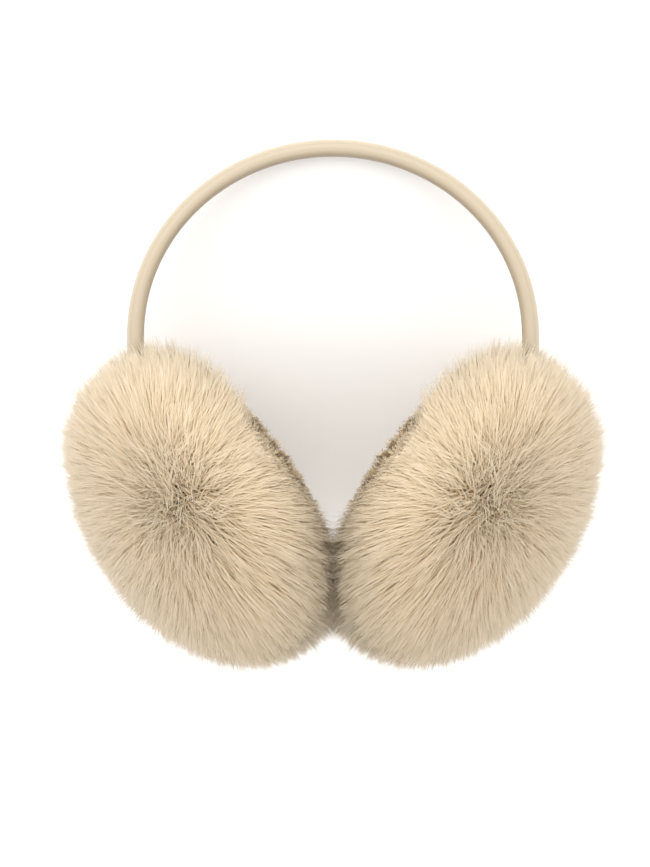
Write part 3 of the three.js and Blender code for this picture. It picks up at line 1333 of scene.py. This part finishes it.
@dataclass
class Headband:
    """The sprung band in its cover: two straight legs and an arch in one sweep of a rounded section."""

    axes: BandAxes
    leg_steps: int = 8
    arch_steps: int = 64
    edge: float = 2.9 * MM
    map_share: float = 1.15

    def sweep(self) -> bpy.types.Object:
        """The band: a block at the end of the left leg, drawn out step by step to the end of the right one.

        Returns:
            The band in its place.
        """
        axes = self.axes
        begin_piece()
        step = axes.leg / self.leg_steps
        start = (-axes.half_span, -axes.leg + step / 2, 0.0)
        bpy.ops.mesh.primitive_cube_add(size=1.0, location=start)
        band = take(bpy.context.object, "band")
        band.scale = (axes.thickness, step, axes.width)
        bpy.ops.object.transform_apply(location=True, rotation=False, scale=True)
        pick_faces(band, face_normals(band)[:, 1] > 0.9)
        stops = self._stops()
        for (here, facing), (there, turned) in zip(stops, stops[1:]):
            move = (there[0] - here[0], there[1] - here[1], 0.0)
            bpy.ops.mesh.extrude_region_move(TRANSFORM_OT_translate={"value": move})
            if abs(turned - facing) > 1e-6:
                bpy.ops.transform.rotate(
                    value=turned - facing,
                    orient_axis="Z",
                    orient_type="GLOBAL",
                    center_override=(there[0], there[1], 0.0),
                )
        bpy.ops.object.mode_set(mode="OBJECT")
        apply_modifier(
            band, "BEVEL", width=self.edge, segments=4, limit_method="ANGLE", angle_limit=math.radians(50)
        )
        apply_modifier(band, "SUBSURF", levels=1, render_levels=1)
        bpy.ops.object.shade_smooth_by_angle(angle=math.radians(60))
        self._map(band)
        band.data.transform(axes.placing)
        return band

    def _stops(self) -> list[tuple[tuple[float, float], float]]:
        """Where the section's middle goes, from the first block's end on.

        Returns:
            Its place in the band's axes and how far it has turned there, for each step.
        """
        axes = self.axes
        stops = []
        for number in range(1, self.leg_steps + 1):
            stops.append(((-axes.half_span, -axes.leg * (1 - number / self.leg_steps)), 0.0))
        for number in range(1, self.arch_steps + 1):
            turn = math.pi * number / self.arch_steps
            ahead = math.atan2(axes.half_span * math.sin(turn), axes.rise * math.cos(turn))
            stops.append(((-axes.half_span * math.cos(turn), axes.rise * math.sin(turn)), ahead))
        for number in range(1, self.leg_steps + 1):
            stops.append(((axes.half_span, -axes.leg * number / self.leg_steps), math.pi))
        return stops

    def _spots(self, points: Array) -> tuple[Array, Array]:
        """Where points of the band lie on it.

        Args:
            points: places in the band's axes.

        Returns:
            How far round the section from the head side, and how far along the band, both from 0 to 1.
        """
        axes = self.axes
        turn = np.clip(np.arctan2(points[:, 1] / axes.rise, -points[:, 0] / axes.half_span), 0, math.pi)
        turn = np.where(points[:, 1] < 0, np.where(points[:, 0] < 0, 0, math.pi), turn)
        arch = math.pi * math.sqrt((axes.half_span**2 + axes.rise**2) / 2)
        below = np.maximum(-points[:, 1], 0) * np.where(points[:, 0] < 0, -1, 1)
        along = (axes.leg + arch * turn / math.pi + below) / (arch + 2 * axes.leg)
        centre = np.stack([-axes.half_span * np.cos(turn), axes.rise * np.sin(turn)], axis=1)
        centre[:, 1] = np.where(points[:, 1] < 0, points[:, 1], centre[:, 1])
        outward = unit(np.stack([-np.cos(turn) / axes.half_span, np.sin(turn) / axes.rise], axis=1))
        thick = ((points[:, :2] - centre) * outward).sum(axis=1)
        return (np.arctan2(points[:, 2], -thick) / (2 * math.pi)) % 1.0, along

    def _map(self, band: bpy.types.Object) -> None:
        """Maps the band: round its section from the head side, and along it from leg end to leg end.

        Args:
            band: the band, in its own axes.
        """
        mesh = band.data
        around, along = self._spots(vertices_of(band))
        corner = np.zeros(len(mesh.loops), np.int32)
        mesh.loops.foreach_get("vertex_index", corner)
        totals = np.zeros(len(mesh.polygons), np.int32)
        mesh.polygons.foreach_get("loop_total", totals)
        face = np.repeat(np.arange(len(totals)), totals)
        value = around[corner]
        highest = np.zeros(len(totals))
        lowest = np.ones(len(totals))
        np.maximum.at(highest, face, value)
        np.minimum.at(lowest, face, value)
        over_seam = ((highest - lowest)[face] > 0.5) & (value < 0.5)
        spots = np.stack([(value + over_seam) / self.map_share, along[corner]], axis=1)
        for other in list(mesh.uv_layers):
            mesh.uv_layers.remove(other)
        layer = mesh.uv_layers.new(name=STRAND_MAP)
        layer.uv.foreach_set("vector", spots.astype(np.float32).ravel())

    def build(self) -> None:
        """Builds and dresses the band."""
        band = self.sweep()
        dress(band, CoverFinish(map_share=self.map_share).material())
        join_body(band, "band_cover", "headband")


@dataclass(frozen=True)
class Lamp:
    """A large soft lamp: its place in the band's axes, its side in metres and its power in watts."""

    name: str
    place: Triple
    side: float
    watts: float
    colour: Colour = (1.0, 0.99, 0.98)


LAMPS = (
    Lamp("key", (-0.2, 0.8, 1.3), 1.6, 20.0, (1.0, 0.985, 0.97)),
    Lamp("left_side", (-1.2, 0.1, 0.9), 1.2, 5.5),
    Lamp("right_side", (1.2, 0.1, 0.9), 1.2, 5.5),
    Lamp("front_fill", (0.0, -1.3, 0.6), 1.2, 5.5),
)


@dataclass
class Studio:
    """The table, the light and the camera, all set out from the headband's axes."""

    band: BandAxes
    table_side: float = 14.0
    lamps: tuple[Lamp, ...] = LAMPS
    aim_below: float = 40 * MM
    sky_colour: Colour = (1.0, 0.99, 0.98)
    sky_strength: float = 0.9
    picture: tuple[int, int] = (650, 867)
    spring_line: tuple[float, float] = (333.0, 335.5)
    pixel: float = 0.365 * MM
    distance: float = 2.2
    sensor: float = 36.0

    def table(self) -> None:
        """A wide, plain table top at the lowest point of the earmuffs."""
        begin_piece()
        bpy.ops.mesh.primitive_plane_add(size=self.table_side)
        top = take(bpy.context.object, "table")
        dress(top, TableFinish().material())

    def light(self, lamp: Lamp) -> None:
        """Sets up a lamp, aimed at the earmuffs.

        Args:
            lamp: what it is like.
        """
        data = bpy.data.lights.new(lamp.name, "AREA")
        data.size = lamp.side
        data.energy = lamp.watts
        data.color = lamp.colour
        light = bpy.data.objects.new(lamp.name, data)
        bpy.context.scene.collection.objects.link(light)
        place = Vector(self.band.placed(np.array(lamp.place)))
        aim = Vector(self.band.placed(np.array([0.0, -self.aim_below, 0.0])))
        light.location = place
        light.rotation_euler = (aim - place).to_track_quat("-Z", "Y").to_euler()

    def camera(self) -> None:
        """A long lens square to the band's arch, framed as the photograph is."""
        data = bpy.data.cameras.new("camera")
        camera = bpy.data.objects.new("camera", data)
        bpy.context.scene.collection.objects.link(camera)
        wide, high = self.picture
        aim = np.array([wide / 2 - self.spring_line[0], self.spring_line[1] - high / 2, 0.0]) * self.pixel
        place = Matrix.Translation(self.band.placed(aim + [0, 0, self.distance]))
        turn = Matrix(self.band.rows.T.tolist()).to_4x4()
        camera.matrix_world = place @ turn
        data.sensor_width = self.sensor
        data.lens = self.sensor * self.distance / (high * self.pixel)
        data.clip_start, data.clip_end = 0.01, 50.0
        bpy.context.scene.camera = camera

    def build(self) -> None:
        """Sets out the whole studio."""
        self.table()
        self.camera()
        for lamp in self.lamps:
            self.light(lamp)
        world = bpy.data.worlds.new("studio")
        world.use_nodes = True
        sky = world.node_tree.nodes["Background"]
        sky.inputs["Color"].default_value = (*self.sky_colour, 1.0)
        sky.inputs["Strength"].default_value = self.sky_strength
        bpy.context.scene.world = world
        bpy.context.scene.view_settings.view_transform = "Standard"


def main() -> None:
    """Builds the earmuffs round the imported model."""
    logging.basicConfig(level=logging.INFO, format="%(name)s %(message)s")
    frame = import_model()
    nodes = frame["nodes"]
    band = BandAxes.measured(nodes["headband"], ARCH_RISE, BAND_THICKNESS, BAND_WIDTH)
    pad = PadAxes.measured(nodes["ear_cushion_left"], nodes["fur_pad_left"], band, EAR_SIDE + CUSHION_GAP)
    Studio(band).build()
    Headband(band).build()
    EarCushions(pad).build()
    FurPads(band, pad).build()
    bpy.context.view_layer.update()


if __name__ == "__main__":
    main()
